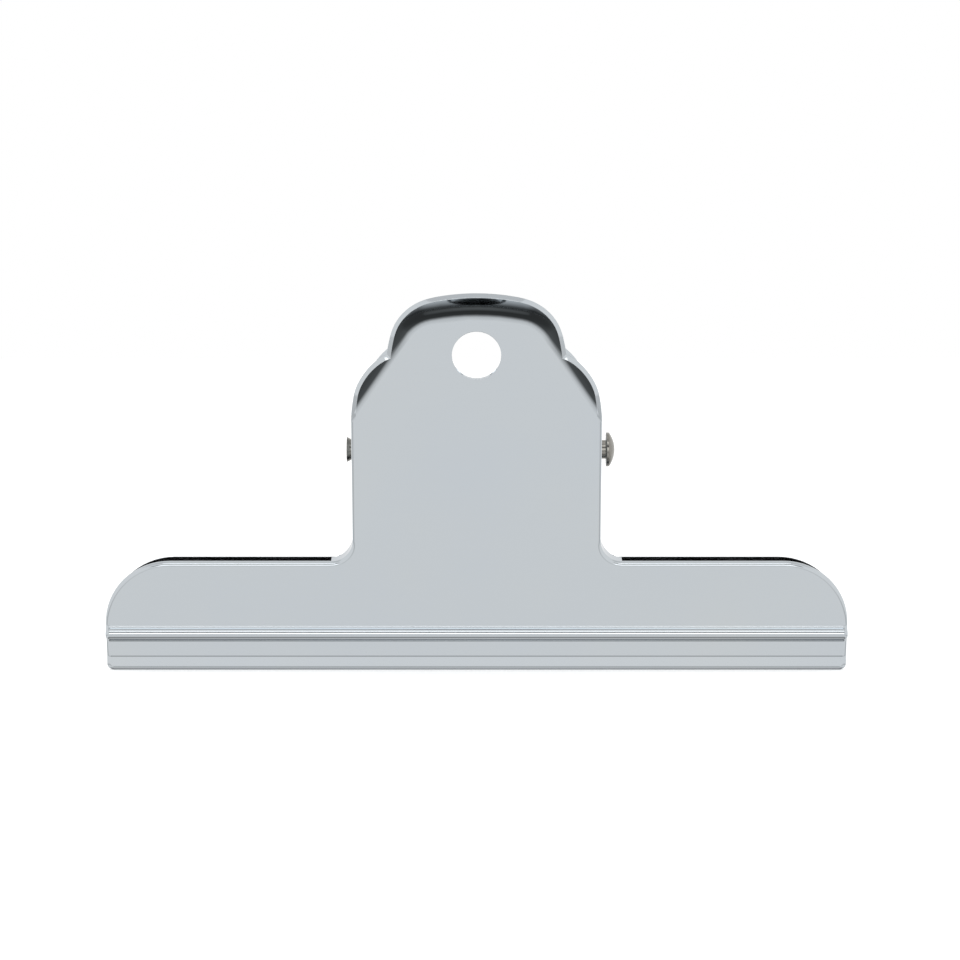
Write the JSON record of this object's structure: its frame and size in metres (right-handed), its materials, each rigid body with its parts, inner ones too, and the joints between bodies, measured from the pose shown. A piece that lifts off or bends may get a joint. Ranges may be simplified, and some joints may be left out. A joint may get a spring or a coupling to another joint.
{
  "type": "bulldog clip",
  "caption": "Wide T-shaped spring clip in plated sheet steel, with lobed finger tabs hinged on a rivet and a beaded jaw that grips a stack of paper.",
  "frame": {"origin": "middle of the jaw's lower edge, between the two lips, on the plane where the halves meet", "axes": "+X along the jaw to the rivet's head, -Y towards the front plate's viewer, +Z from the jaw up to the finger tabs"},
  "size_m": [0.145, 0.0452, 0.0737],
  "materials": {
    "plated_sheet": "bright plated, smooth",
    "rivet_nickel": "nickel plated, slightly warm",
    "spring_wire": "bright drawn spring wire"
  },
  "bodies": {
    "back_half": {"back_plate": "plated_sheet", "pivot_rivet": "rivet_nickel", "torsion_spring": "spring_wire"},
    "front_half": {"front_plate": "plated_sheet"}
  },
  "joints": [
    {"name": "jaw_hinge", "type": "hinge", "parent": "back_half", "child": "front_half", "pos_m": [0, 0, 0.0433], "axis": [-1, 0, 0], "range_deg": [0, 35], "stiffness_Nm_per_rad": 0.79, "springref_deg": -51.57, "deforming": ["torsion_spring"]}
  ]
}
